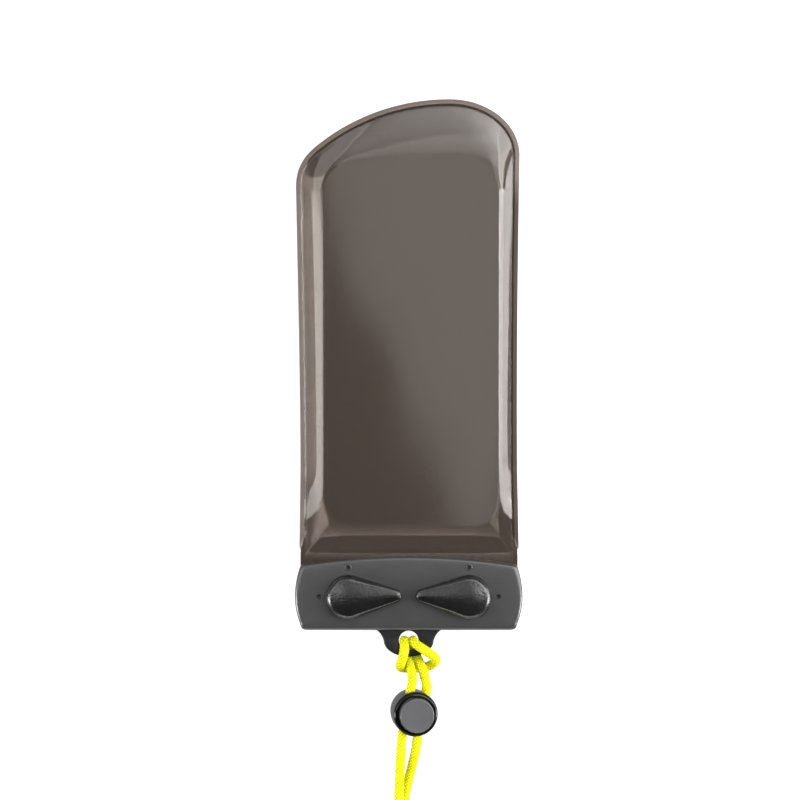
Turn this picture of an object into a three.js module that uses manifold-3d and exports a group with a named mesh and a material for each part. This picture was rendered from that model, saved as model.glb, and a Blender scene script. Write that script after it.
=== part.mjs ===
// Waterproof phone pouch, lying on its back: two welded sheets of soft film that still hold the form
// of the phone they were shaped on, a two-jaw clip that two quarter-turn levers clamp over the mouth,
// and a doubled cord lanyard with a sprung cord lock.
//
// Millimetres. +X is the pouch's right, +Y its closed, curved end, +Z up from the surface it lies on.
// The origin is below the middle of the pouch and clip, on that surface.
import * as THREE from "three";
import { mergeVertices } from "three/addons/utils/BufferGeometryUtils.js";
import Module from "manifold-3d";

const wasm = await Module();
wasm.setup();

// Clearances and sheet
const GAP = 0.3; // between two pieces that touch or slide
const PIN_GAP = 0.15; // round a pin in its hole
const FILM = 0.4; // one sheet of film
const WELD_WIDTH = 2.7; // welded band along the edge
const OVERCUT = 1; // how far a cutting shape runs past what it cuts

// Phone bay, the flat-topped space between the sheets
const BAY_WIDTH = 78;
const BAY_LENGTH = 161;
const BAY_DEPTH = 8.2;
const BAY_CORNER = 12;
const BAY_OFFSET = 1; // right of the clip's middle

// Film round the bay
const LEFT_MARGIN = 12.7;
const RIGHT_MARGIN = 9.9;
const CROWN_MARGIN = 30; // from the bay to the top of the curved end
const CLIP_MARGIN = 14.2; // from the bay to the clip
const CROWN_OFFSET = 17.5; // the curved end peaks right of the bay's middle
const SHOULDER_RISE = 25.2; // height of the round right shoulder
const LEFT_CORNER_RISE = 21; // from the peak down to where the left corner starts
const LEFT_CORNER_RUN = 9.2; // how far that corner reaches in from the left edge
const LEFT_CORNER_FALL = 18.2; // and how far it comes down the left edge
const CROWN_SLOPE = THREE.MathUtils.degToRad(39); // of the edge where the corner meets the crown
const CORNER_PULL = 0.76; // how far the corner keeps the crown's slope, as a share of its run
const CORNER_BEND = 0.46; // and how far the left edge keeps straight into it, as a share of its fall
const CROWN_BENDS = [0.3, 0.43]; // how far the crown keeps its slope at each end, as shares of its run
const LEFT_BENDS = [0.3, 0.62]; // heights of the bends in the left side, as shares of its length
const RIGHT_BENDS = [0.3, 0.7];
const WAIST = 1.2; // the sides draw in by this much half way down
const LEFT_MOUTH_TUCK = 1.6; // mouth's left edge in from the widest point
const RIGHT_MOUTH_TUCK = 0.5;
const MOUTH_IN_CLIP = 11.6; // film held between the jaws
const SEAM_RUN = 34; // the edge comes down from the clip's level over this length
const OUTLINE_STEP = 6; // spacing of points along the edge
const SLOPE_RINGS = 3; // rings of points between the weld and the bay
const SHARPEST = 0.5; // limit on how far a corner of the weld's inner side is drawn in

// Clip
const JAW_WIDTH = 101.7;
const JAW_HEIGHT = 32.8;
const JAW_CROWN = 3.9; // rise of the curved upper edge
const JAW_END_TUCK = 2.5; // the ends draw in by this much above and below their middle
const JAW_CORNER = 2.5;
const JAW_BEND = 0.56; // widest place of the ends, as a share of the height from the top
const BACK_JAW_THICKNESS = 6.4;
const FRONT_JAW_THICKNESS = 4.4;
const BACK_JAW_BEVEL = 0.8;
const FRONT_JAW_BEVEL = 1.2;
const RIB_HEIGHT = 0.4; // clamping rib on each jaw
const RIB_WIDTH = 2.4;
const RIB_DROP = 8.5; // below the jaw's upper edge
const RIB_END = 2.2; // rib stops this far from the jaw's ends
const LAND_BEVEL = 0.6; // on the step of the back jaw that meets the front jaw below the film
const PEG_RADIUS = 2; // guide pegs on the back jaw, beside the film
const PEG_SPACING = 84;
const PEG_DROP = 25.2;
const PEG_ENGAGEMENT = 2.4;
const RING_RADIUS = 1.45; // moulded ring marks over the levers
const RING_HOLE_RADIUS = 0.85;
const RING_RISE = 0.3;
const RING_DEPTH = 1.4;
const RING_DROP = 4.7;
const DIMPLE_RADIUS = 0.9; // index dimples outside the levers
const DIMPLE_DEPTH = 0.8;
const DIMPLE_OFFSET = 12.9; // from the lever's pivot

// Lanyard tab on the back jaw
const TAB_THICKNESS = 2.4;
const TAB_RISE = 2; // its top stands above the back jaw's clamping face
const TAB_ROOT_WIDTH = 32.8;
const TAB_WIDTH = 22.4;
const TAB_HOLE_RADIUS = 4.4;
const TAB_HOLE_DROP = 5.1; // below the jaws
const TAB_WEB = 2.9;
const TAB_ROOT = 4; // length inside the back jaw

// Levers
const PIVOT_SPACING = 53.9;
const PIVOT_DROP = 17.8; // below the jaws' upper edge
const LEVER_RADIUS = 9.9;
const LEVER_TIP_RADIUS = 2.9;
const LEVER_REACH = 21; // pivot to the centre of the tip
const LEVER_THICKNESS = 6.5;
const LEVER_BEVEL = 1.9;
const LEVER_CANT = THREE.MathUtils.degToRad(2.2); // tips stand a little high when closed
const FINGER_GAP = 1.4; // extra room under the tip
const FINGER_START = 1; // beyond the round of the wide end
const POST_RADIUS = 3;
const POST_TAIL = 1.5; // post below the cam pin's centre
const CAM_PIN_RADIUS = 1.1;
const CAM_PIN_LENGTH = 11.2;
const CAM_LIFT = 1.5; // the front jaw rises by this as the levers open
const CAM_STEPS = 6;
const CAM_WEB = 1.5; // back jaw left over the pin's highest place
const POCKET_SIDES = 24;
const HOLE_SIDES = 12;

// Cord lock
const LOCK_AT = [1, -149.6]; // middle of its base
const LOCK_YAW = THREE.MathUtils.degToRad(-10.6);
const LOCK_LEAN = THREE.MathUtils.degToRad(9);
const LOCK_RADIUS = 10;
const LOCK_BASE_RADIUS = 9.4;
const LOCK_HEIGHT = 15;
const LOCK_BEVEL = 1.4;
const LOCK_FLOOR = 1.2;
const LOCK_LIFT = 0.05; // of its leaning base above the surface
const LOCK_SIDES = 32;
const BUTTON_RADIUS = 7.6;
const BUTTON_TRAVEL = 2.5;
const BUTTON_STAND = 3.5; // button above the barrel at rest
const BUTTON_BEVEL = 0.7;
const BUTTON_WEB = 1.1;
const SPRING_ROOM = 4.7; // between the barrel's floor and the plunger
const SPRING_WIRE = 0.4; // wire radius
const SPRING_RADIUS = 5;
const SPRING_TURNS = 3;
const SPRING_STEPS = 10; // in one turn
const SPRING_SIDES = 6;

// Lanyard cord: a loop of about one metre. Its points are chosen by hand.
const CORD_DIAMETER = 4.3;
const CORD_SIDES = 8;
const HITCH_STEPS = [24, 26];
const STRAND_STEPS = 14;
const CORD_CLEARANCE = 0.35; // round the cord in the lock
const CORD_PAIR_SPACING = 7; // between the two runs in the lock
const COIL_AT = [23.55, -227];
const COIL_OUTER = 30.3;
const COIL_INNER = 17;
const COIL_HEIGHT = 9;
const COIL_CHAMFER = [1, 1.5]; // across and up
const KNOT_RADIUS = 6;
const KNOT_HEIGHT = 8.6;
const KNOT_ANGLE = THREE.MathUtils.degToRad(115);

// Levels above the surface that follow from the sizes
const backRibTop = BACK_JAW_THICKNESS + RIB_HEIGHT;
const clipSeam = backRibTop + GAP + FILM + GAP / 2; // middle of the two sheets in the clip
const sideSeam = FILM + BAY_DEPTH / 2; // and along the sides
const frontRibBottom = clipSeam + GAP / 2 + FILM + GAP;
const frontJawBottom = frontRibBottom + RIB_HEIGHT;
const frontJawTop = frontJawBottom + FRONT_JAW_THICKNESS;
const landTop = frontJawBottom - GAP;
const leverBottom = frontJawTop + GAP;
const camHigh = BACK_JAW_THICKNESS - CAM_WEB;
const camLow = camHigh - CAM_LIFT;
const camPinLevel = camLow - PIN_GAP - CAM_PIN_RADIUS;
const tabTop = BACK_JAW_THICKNESS + TAB_RISE;

// Places along the pouch, from the bay's middle, which is then set by the whole length
const bayHalf = BAY_LENGTH / 2;
const crownTop = bayHalf + CROWN_MARGIN;
const jawTop = -bayHalf - CLIP_MARGIN;
const jawBottom = jawTop - JAW_HEIGHT;
const filmEnd = jawTop - MOUTH_IN_CLIP;
const pivotY = jawTop - PIVOT_DROP;
const tabHoleY = jawBottom - TAB_HOLE_DROP;
const tabEnd = tabHoleY - TAB_HOLE_RADIUS - TAB_WEB;
const bayMiddleY = -(crownTop + tabEnd) / 2;
const pivotX = PIVOT_SPACING / 2;

const material = (color, roughness, metalness = 0) =>
  new THREE.MeshStandardMaterial({ color, roughness, metalness });
const smokeFilm = material(0x6e5f57, 0.35);
const clearFilm = material(0xb8aca4, 0.2);
const jawPlastic = material(0x55565a, 0.45);
const backPlastic = material(0x2b2c30, 0.5);
const leverPlastic = material(0x2d2e30, 0.6);
const steel = material(0xb9bbbe, 0.3, 1);
const cordYarn = material(0xeef018, 0.85);
const lockPlastic = material(0x141417, 0.3);
const buttonPlastic = material(0x707176, 0.45);

// Turns a closed three.js geometry into a solid that can be joined and cut.
function solid(geometry) {
  const bare = geometry.clone();
  bare.deleteAttribute("normal");
  bare.deleteAttribute("uv");
  const merged = mergeVertices(bare, 1e-4);
  return new wasm.Manifold(
    new wasm.Mesh({
      numProp: 3,
      vertProperties: merged.attributes.position.array,
      triVerts: new Uint32Array(merged.index.array),
    }),
  );
}

// Turns a joined or cut solid back into a geometry.
function geometryOf(body) {
  const { numProp, numVert, vertProperties, triVerts } = body.getMesh();
  const positions = new Float32Array(numVert * 3);
  for (let i = 0; i < numVert; i++)
    positions.set(vertProperties.subarray(i * numProp, i * numProp + 3), i * 3);
  const geometry = new THREE.BufferGeometry();
  geometry.setAttribute("position", new THREE.BufferAttribute(positions, 3));
  geometry.setIndex(new THREE.BufferAttribute(triVerts, 1));
  geometry.computeVertexNormals();
  return geometry;
}

function piece(name, shape, finish) {
  const geometry = shape.isBufferGeometry ? shape : geometryOf(shape);
  const mesh = new THREE.Mesh(geometry, finish);
  mesh.name = name;
  return mesh;
}

// A shape drawn in plan and raised from one level to another, with its edges bevelled.
function slab(shape, bottom, top, bevel = 0, bevelSegments = 2, curveSegments = 8) {
  const geometry = new THREE.ExtrudeGeometry(shape, {
    depth: top - bottom - 2 * bevel,
    bevelEnabled: bevel > 0,
    bevelThickness: bevel,
    bevelSize: bevel,
    bevelOffset: -bevel,
    bevelSegments,
    curveSegments,
  });
  return geometry.translate(0, 0, bottom + bevel);
}

function upright(radius, x, y, bottom, top, sides = 20) {
  const geometry = new THREE.CylinderGeometry(radius, radius, top - bottom, sides);
  return geometry.rotateX(Math.PI / 2).translate(x, y, (bottom + top) / 2);
}

function block(x, y, width, height, bottom, top) {
  const geometry = new THREE.BoxGeometry(width, height, top - bottom);
  return geometry.translate(x, y, (bottom + top) / 2);
}

// A profile of [radius, height] pairs turned about the vertical axis.
function turned(profile, sides) {
  const points = profile.map(([r, z]) => new THREE.Vector2(r, z));
  return new THREE.LatheGeometry(points, sides).rotateX(Math.PI / 2);
}

function tube(points, radius, sides, steps) {
  const section = new THREE.Shape();
  section.absarc(0, 0, radius, 0, 2 * Math.PI);
  return new THREE.ExtrudeGeometry(section, {
    steps,
    curveSegments: sides / 2,
    bevelEnabled: false,
    extrudePath: new THREE.CatmullRomCurve3(points),
  });
}

// Edge of the film, clockwise from the left of the mouth.
function filmEdge() {
  const left = BAY_OFFSET - BAY_WIDTH / 2 - LEFT_MARGIN;
  const right = BAY_OFFSET + BAY_WIDTH / 2 + RIGHT_MARGIN;
  const mouthLeft = left + LEFT_MOUTH_TUCK;
  const mouthRight = right - RIGHT_MOUTH_TUCK;
  const cornerTop = crownTop - LEFT_CORNER_RISE;
  const cornerX = left + LEFT_CORNER_RUN;
  const cornerStart = cornerTop - LEFT_CORNER_FALL;
  const peakX = BAY_OFFSET + CROWN_OFFSET;
  const shoulderY = crownTop - SHOULDER_RISE;
  const slopeX = Math.cos(CROWN_SLOPE);
  const slopeY = Math.sin(CROWN_SLOPE);
  const cornerPull = LEFT_CORNER_RUN * CORNER_PULL;
  const crownRun = peakX - cornerX;
  const sideY = (share) => jawTop + (cornerStart - jawTop) * share;
  const path = new THREE.Path();
  path.moveTo(mouthLeft, filmEnd);
  path.lineTo(mouthLeft, jawTop);
  path.bezierCurveTo(
    mouthLeft + WAIST, sideY(LEFT_BENDS[0]),
    left + WAIST, sideY(LEFT_BENDS[1]),
    left, cornerStart,
  );
  path.bezierCurveTo(
    left, cornerStart + LEFT_CORNER_FALL * CORNER_BEND,
    cornerX - slopeX * cornerPull, cornerTop - slopeY * cornerPull,
    cornerX, cornerTop,
  );
  path.bezierCurveTo(
    cornerX + slopeX * crownRun * CROWN_BENDS[0], cornerTop + slopeY * crownRun * CROWN_BENDS[0],
    peakX - crownRun * CROWN_BENDS[1], crownTop,
    peakX, crownTop,
  );
  path.absellipse(
    peakX, shoulderY, right - peakX, SHOULDER_RISE, Math.PI / 2, 0, true, 0,
  );
  path.bezierCurveTo(
    right - WAIST, sideY(RIGHT_BENDS[1]),
    mouthRight - WAIST, sideY(RIGHT_BENDS[0]),
    mouthRight, jawTop,
  );
  path.lineTo(mouthRight, filmEnd);
  path.lineTo(mouthLeft, filmEnd);
  return path;
}

// Points along the edge, anticlockwise, about OUTLINE_STEP apart and with every corner kept.
function edgePoints() {
  const points = [];
  for (const curve of filmEdge().curves) {
    const length = curve.getLength();
    if (length < GAP) continue; // where an arc starts at the path's last point
    const count = Math.max(1, Math.round(length / OUTLINE_STEP));
    points.push(...curve.getSpacedPoints(count).slice(0, count));
  }
  return points.reverse();
}

// Level of the welded edge: the clip's level at the clip, half the bay's height along the sides.
function seamLevel(y) {
  return THREE.MathUtils.lerp(
    sideSeam, clipSeam, 1 - THREE.MathUtils.smoothstep(y, jawTop + GAP, jawTop + SEAM_RUN),
  );
}

// Inner side of the weld. Near the mouth it is drawn up clear of the jaws, so that the film is flat there.
function weldPoints(edge) {
  const clear = jawTop + 2 * GAP;
  const start = jawTop + SEAM_RUN;
  const squeeze = (start - clear) / (start - filmEnd - WELD_WIDTH);
  return edge.map((point, i) => {
    const before = edge[(i + edge.length - 1) % edge.length];
    const after = edge[(i + 1) % edge.length];
    const a = point.clone().sub(before).normalize();
    const b = after.clone().sub(point).normalize();
    const inward = new THREE.Vector2(-a.y - b.y, a.x + b.x);
    const reach = WELD_WIDTH / Math.max(SHARPEST, inward.length() / 2);
    const moved = point.clone().addScaledVector(inward.normalize(), reach);
    if (moved.y < start) moved.y = start - (start - moved.y) * squeeze;
    return moved;
  });
}

// Nearest point of the bay's rounded outline.
function bayPoint(point) {
  const halfX = BAY_WIDTH / 2 - BAY_CORNER;
  const halfY = bayHalf - BAY_CORNER;
  const core = new THREE.Vector2(
    THREE.MathUtils.clamp(point.x, BAY_OFFSET - halfX, BAY_OFFSET + halfX),
    THREE.MathUtils.clamp(point.y, -halfY, halfY),
  );
  return core.clone().addScaledVector(point.clone().sub(core).normalize(), BAY_CORNER);
}

// One sheet: flat over the bay, sloping to the weld and flat in it. side is 1 for the front, -1 for the back.
function sheet(side) {
  const edge = edgePoints();
  const weld = weldPoints(edge);
  const bay = weld.map(bayPoint);
  const plateau = side > 0 ? FILM + BAY_DEPTH : 0;
  const seamBottom = side > 0 ? GAP / 2 : -GAP / 2 - FILM;
  const rings = [edge, weld].map((ring) =>
    ring.map((p) => new THREE.Vector3(p.x, p.y, seamLevel(p.y) + seamBottom)),
  );
  for (let ring = 1; ring <= SLOPE_RINGS; ring++) {
    const share = ring / SLOPE_RINGS;
    const rise = Math.sin((share * Math.PI) / 2);
    rings.push(
      rings[1].map((low, i) => {
        const { x, y } = weld[i].clone().lerp(bay[i], share);
        return new THREE.Vector3(x, y, THREE.MathUtils.lerp(low.z, plateau, rise));
      }),
    );
  }
  const middle = new THREE.Vector3(BAY_OFFSET, 0, plateau);
  return closedSheet(rings, middle, FILM);
}

// A sheet of even thickness over nested rings of points that end round a middle point.
function closedSheet(rings, middle, thickness) {
  const count = rings[0].length;
  const lower = [...rings.flat(), middle];
  const upper = lower.map((p) => new THREE.Vector3(p.x, p.y, p.z + thickness));
  const layer = lower.length;
  const index = [];
  const quad = (a, b, c, d) => index.push(a, b, c, a, c, d);
  for (let i = 0; i < count; i++) {
    const next = (i + 1) % count;
    for (let ring = 0; ring + 1 < rings.length; ring++) {
      const out = ring * count;
      const inn = out + count;
      quad(out + i, inn + i, inn + next, out + next);
      quad(layer + out + i, layer + out + next, layer + inn + next, layer + inn + i);
    }
    const last = (rings.length - 1) * count;
    index.push(last + i, layer - 1, last + next);
    index.push(layer + last + i, layer + last + next, 2 * layer - 1);
    quad(i, next, layer + next, layer + i);
  }
  const geometry = new THREE.BufferGeometry().setFromPoints([...lower, ...upper]);
  return geometry.setIndex(index);
}

// Plan of a jaw: curved upper edge, ends that bow out, rounded lower corners.
function jawPlan() {
  const half = JAW_WIDTH / 2;
  const end = half - JAW_END_TUCK;
  const bow = half + JAW_END_TUCK;
  const bendY = jawTop - JAW_HEIGHT * JAW_BEND;
  const shape = new THREE.Shape();
  shape.moveTo(-end + JAW_CORNER, jawBottom);
  shape.lineTo(end - JAW_CORNER, jawBottom);
  shape.quadraticCurveTo(end, jawBottom, end, jawBottom + JAW_CORNER);
  shape.quadraticCurveTo(bow, bendY, end, jawTop - JAW_CROWN);
  shape.quadraticCurveTo(0, jawTop + JAW_CROWN, -end, jawTop - JAW_CROWN);
  shape.quadraticCurveTo(-bow, bendY, -end, jawBottom + JAW_CORNER);
  shape.quadraticCurveTo(-end, jawBottom, -end + JAW_CORNER, jawBottom);
  return shape;
}

function rib(bottom, top) {
  const width = JAW_WIDTH - 2 * JAW_END_TUCK - 2 * RIB_END;
  return solid(block(0, jawTop - RIB_DROP, width, RIB_WIDTH, bottom, top));
}

// Plan of the tab: a root that flares into the jaw and a half ellipse round its hole.
function tabPlan() {
  const shape = new THREE.Shape();
  const root = TAB_ROOT_WIDTH / 2;
  const half = TAB_WIDTH / 2;
  const end = TAB_HOLE_RADIUS + TAB_WEB;
  const rootTop = TAB_HOLE_DROP + TAB_ROOT;
  const knee = (root + 2 * half) / 3;
  shape.moveTo(-root, rootTop);
  shape.lineTo(-root, TAB_HOLE_DROP);
  shape.quadraticCurveTo(-knee, TAB_HOLE_DROP, -half, 0);
  shape.absellipse(0, 0, half, end, Math.PI, 2 * Math.PI, false, 0);
  shape.quadraticCurveTo(knee, TAB_HOLE_DROP, root, TAB_HOLE_DROP);
  shape.lineTo(root, rootTop);
  const hole = new THREE.Path();
  hole.absarc(0, 0, TAB_HOLE_RADIUS, 0, 2 * Math.PI, true);
  shape.holes.push(hole);
  return shape;
}

// Room for one lever's post and cam pin: a pocket that is open below, a ramp on each side that rises
// towards the open position, and a keyhole slot there. side is -1 for the left lever, 1 for the right.
function camPocket(side) {
  const pinReach = CAM_PIN_LENGTH / 2;
  const x = side * pivotX;
  const below = -OVERCUT;
  const above = landTop + OVERCUT;
  const slotLength = 2 * pinReach + GAP;
  const slotWidth = 2 * (CAM_PIN_RADIUS + GAP);
  let room = solid(upright(pinReach + GAP, x, pivotY, below, camLow, POCKET_SIDES))
    .add(solid(upright(POST_RADIUS + GAP, x, pivotY, below, above)))
    .add(solid(block(x, pivotY, slotLength, slotWidth, below, above)));
  for (let step = 1; step <= CAM_STEPS; step++)
    for (const end of [0, Math.PI]) {
      const sweep = ((Math.PI / 2) * step) / CAM_STEPS;
      const start = side < 0 ? end : end - sweep;
      const reach = pinReach + PIN_GAP;
      const arc = new THREE.EllipseCurve(0, 0, reach, reach, start, start + sweep);
      const wedge = new THREE.Shape([new THREE.Vector2(), ...arc.getPoints(CAM_STEPS)]);
      const top = camHigh - (CAM_LIFT * (step - 1)) / CAM_STEPS;
      const cut = slab(wedge, camLow / 2, top, 0, 1, 3);
      room = room.add(solid(cut.translate(x, pivotY, 0)));
    }
  return room;
}

function backJaw() {
  const tab = slab(tabPlan(), tabTop - TAB_THICKNESS, tabTop).translate(0, tabHoleY, 0);
  const landLength = filmEnd - 3 * GAP - jawBottom;
  const landMiddle = filmEnd - 3 * GAP - landLength;
  const below = block(0, landMiddle, 2 * JAW_WIDTH, 2 * landLength, 0, landTop + OVERCUT);
  const land = solid(slab(jawPlan(), BACK_JAW_BEVEL, landTop, LAND_BEVEL)).intersect(solid(below));
  let body = solid(slab(jawPlan(), 0, BACK_JAW_THICKNESS, BACK_JAW_BEVEL))
    .add(rib(BACK_JAW_THICKNESS - BACK_JAW_BEVEL, backRibTop))
    .add(land)
    .add(solid(tab));
  const pegTop = frontJawBottom + PEG_ENGAGEMENT;
  for (const side of [-1, 1]) {
    const x = (side * PEG_SPACING) / 2;
    const peg = upright(PEG_RADIUS, x, jawTop - PEG_DROP, BACK_JAW_THICKNESS / 2, pegTop);
    body = body.subtract(camPocket(side)).add(solid(peg));
  }
  return body;
}

function frontJaw() {
  let body = solid(slab(jawPlan(), frontJawBottom, frontJawTop, FRONT_JAW_BEVEL, 3))
    .add(rib(frontRibBottom, frontJawBottom + FRONT_JAW_BEVEL));
  const socketTop = frontJawBottom + PEG_ENGAGEMENT + GAP;
  const ringFloor = frontJawTop - RING_DEPTH;
  const dimpleFloor = frontJawTop - DIMPLE_DEPTH;
  const below = frontRibBottom - OVERCUT;
  for (const side of [-1, 1]) {
    const x = side * pivotX;
    const ringY = jawTop - RING_DROP;
    const pegX = (side * PEG_SPACING) / 2;
    const pegY = jawTop - PEG_DROP;
    const dimpleX = side * (pivotX + DIMPLE_OFFSET);
    const above = frontJawTop + OVERCUT;
    body = body
      .add(solid(upright(RING_RADIUS, x, ringY, frontJawTop - RING_DEPTH, frontJawTop + RING_RISE)))
      .subtract(solid(upright(RING_HOLE_RADIUS, x, ringY, ringFloor, above, HOLE_SIDES)))
      .subtract(solid(upright(POST_RADIUS + GAP, x, pivotY, below, above)))
      .subtract(solid(upright(PEG_RADIUS + GAP, pegX, pegY, below, socketTop)))
      .subtract(solid(upright(DIMPLE_RADIUS, dimpleX, pivotY, dimpleFloor, above, HOLE_SIDES)));
  }
  return body;
}

// Plan of a lever, pointing along +X from its pivot: two arcs joined by their tangents.
function leverPlan() {
  const tangent = Math.acos((LEVER_RADIUS - LEVER_TIP_RADIUS) / LEVER_REACH);
  const shape = new THREE.Shape();
  shape.absarc(0, 0, LEVER_RADIUS, tangent, 2 * Math.PI - tangent, false);
  shape.absarc(LEVER_REACH, 0, LEVER_TIP_RADIUS, -tangent, tangent, false);
  return shape;
}

// One lever with its post. The pieces are made round the pivot; turn is where the tip points.
function lever(turn) {
  const top = leverBottom + LEVER_THICKNESS;
  const fingerStart = LEVER_RADIUS + FINGER_START;
  const fingerLength = LEVER_REACH + LEVER_TIP_RADIUS + OVERCUT - fingerStart;
  const finger = block(
    fingerStart + fingerLength / 2, 0,
    fingerLength, 2 * LEVER_RADIUS,
    leverBottom - OVERCUT, leverBottom + FINGER_GAP,
  );
  const head = slab(leverPlan(), leverBottom, top, LEVER_BEVEL, 3, 6).rotateZ(turn);
  return solid(head)
    .subtract(solid(finger.rotateZ(turn)))
    .add(solid(upright(POST_RADIUS, 0, 0, camPinLevel - POST_TAIL, top - LEVER_BEVEL)))
    .subtract(solid(camPin(PIN_GAP, OVERCUT)));
}

// The pin lies across the post, along Y while the lever is closed.
function camPin(wider = 0, longer = 0) {
  const radius = CAM_PIN_RADIUS + wider;
  const pin = new THREE.CylinderGeometry(radius, radius, CAM_PIN_LENGTH + longer, HOLE_SIDES);
  return pin.translate(0, 0, camPinLevel);
}

// Heights in the cord lock, from its base
const plungerBottom = LOCK_FLOOR + SPRING_ROOM;
const slotBottom = plungerBottom + BUTTON_WEB;
const slotWidth = CORD_DIAMETER + 2 * CORD_CLEARANCE;
const cordLevel = slotBottom + slotWidth / 2;
const slotTop = slotBottom + slotWidth + BUTTON_TRAVEL;

function acrossLock(radius, x) {
  const hole = new THREE.CylinderGeometry(radius, radius, 3 * LOCK_RADIUS, 16);
  return solid(hole.translate(x, 0, cordLevel));
}

function lockBody() {
  const bore = BUTTON_RADIUS + GAP;
  let body = solid(
    turned(
      [
        [0, 0],
        [LOCK_BASE_RADIUS, 0],
        [LOCK_RADIUS, LOCK_BEVEL],
        [LOCK_RADIUS, LOCK_HEIGHT - LOCK_BEVEL],
        [LOCK_RADIUS - LOCK_BEVEL / 2, LOCK_HEIGHT],
        [bore, LOCK_HEIGHT],
        [bore, LOCK_FLOOR],
        [0, LOCK_FLOOR],
      ],
      LOCK_SIDES,
    ),
  );
  for (const side of [-1, 1])
    body = body.subtract(acrossLock(slotWidth / 2, (side * CORD_PAIR_SPACING) / 2));
  return body;
}

function lockButton() {
  const top = LOCK_HEIGHT + BUTTON_STAND;
  let body = solid(
    turned(
      [
        [0, plungerBottom],
        [BUTTON_RADIUS, plungerBottom],
        [BUTTON_RADIUS, top - BUTTON_BEVEL],
        [BUTTON_RADIUS - BUTTON_BEVEL, top],
        [0, top],
      ],
      LOCK_SIDES,
    ),
  );
  for (const side of [-1, 1]) {
    const x = (side * CORD_PAIR_SPACING) / 2;
    const slot = block(x, 0, slotWidth, 3 * BUTTON_RADIUS, slotBottom, slotTop);
    body = body.subtract(solid(slot));
  }
  return body;
}

function lockSpring() {
  const start = LOCK_FLOOR + GAP + SPRING_WIRE;
  const rise = SPRING_ROOM - 2 * (GAP + SPRING_WIRE);
  const steps = SPRING_TURNS * SPRING_STEPS;
  const points = [];
  for (let i = 0; i <= steps; i++) {
    const angle = (2 * Math.PI * i) / SPRING_STEPS;
    const height = start + (rise * i) / steps;
    points.push(
      new THREE.Vector3(
        SPRING_RADIUS * Math.cos(angle), SPRING_RADIUS * Math.sin(angle), height,
      ),
    );
  }
  return tube(points, SPRING_WIRE, SPRING_SIDES, steps);
}

// Route of the cord, in the finished frame. The hitch is a cow hitch on the tab: each tail comes up
// under the web, turns up through the hole and goes back over the web, and the bight passes under both.
const hitchLeft = [
  [1.6, -134, 9.4], [1.2, -131, 7.5], [0.3, -128.4, 5.5], [-0.7, -125.4, 3.6], [-1.5, -121.9, 3.5],
  [-1.9, -118.95, 4.65], [-1.9, -117.9, 7.2], [-1.9, -118.95, 9.75], [-1.9, -121.5, 10.8],
  [-2.8, -125.6, 10.6], [-3.6, -128.4, 8.3], [-3.6, -130.2, 4.8], [-1.4, -130.9, 2.5],
  [2.2, -130.8, 2.3],
];
const hitchRight = [
  [7.1, -134, 9], [6.3, -131, 7.4], [5, -128.4, 5.5], [3.6, -125.4, 3.6], [2.5, -121.9, 3.5],
  [1.9, -118.95, 4.65], [1.9, -117.9, 7.2], [2.4, -118.7, 9.75], [4.9, -120.4, 10.8],
  [8.6, -122.9, 10.8], [11.3, -124.9, 9.4], [12.2, -126.6, 6.7], [11.2, -128.6, 3.9],
  [8.6, -130.2, 2.35], [5.4, -130.8, 2.3], [1.6, -130.8, 2.3],
];
const leftStrand = [
  [1.7, -134.6, 9.75], [1.5, -136.6, 10.8], [0.9, -139.4, 11.4], [-0.94, -149.24, 11.45],
  [-2.78, -159.07, 11.45], [-3.4, -165, 10.4], [-3.7, -172, 8.3], [-4.1, -180, 7], [-4.4, -189, 6.8],
  [-4.4, -200, 6.8], [-4.4, -210.7, 6.8],
];
const rightStrand = [
  [7.25, -134.6, 9.3], [7.95, -137.6, 10.2], [7.7, -140.68, 10.36], [5.86, -150.51, 10.36],
  [4.02, -160.34, 10.36], [3.2, -166.4, 8.6], [2, -172.5, 5.6], [0.4, -179, 3.3], [-1.5, -188, 2.35],
  [-3.4, -197, 2.2], [-4.4, -205, 2.2], [-4.4, -210.7, 2.2],
];

function cord(points, steps) {
  const route = points.map((point) => new THREE.Vector3(...point));
  return tube(route, CORD_DIAMETER / 2, CORD_SIDES, steps);
}

const group = new THREE.Group();

const pouch = new THREE.Group();
pouch.position.y = bayMiddleY;
pouch.add(
  piece("back_film", sheet(-1), smokeFilm),
  piece("front_film", sheet(1), clearFilm),
  piece("back_jaw", backJaw(), backPlastic),
  piece("front_jaw", frontJaw(), jawPlastic),
);
for (const [side, word] of [[-1, "left"], [1, "right"]]) {
  const turn = side < 0 ? LEVER_CANT : Math.PI - LEVER_CANT;
  const levers = new THREE.Group();
  levers.position.set(side * pivotX, pivotY, 0);
  levers.add(
    piece("lever_" + word, lever(turn), leverPlastic),
    piece("cam_pin_" + word, camPin(), steel),
  );
  pouch.add(levers);
}
group.add(pouch);

const lock = new THREE.Group();
lock.rotation.order = "ZYX";
lock.rotation.set(0, LOCK_LEAN, LOCK_YAW);
lock.position.set(...LOCK_AT, LOCK_BASE_RADIUS * Math.sin(LOCK_LEAN) + LOCK_LIFT);
lock.add(
  piece("lock_body", lockBody(), lockPlastic),
  piece("lock_button", lockButton(), buttonPlastic),
  piece("lock_spring", lockSpring(), steel),
);
group.add(lock);

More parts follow.
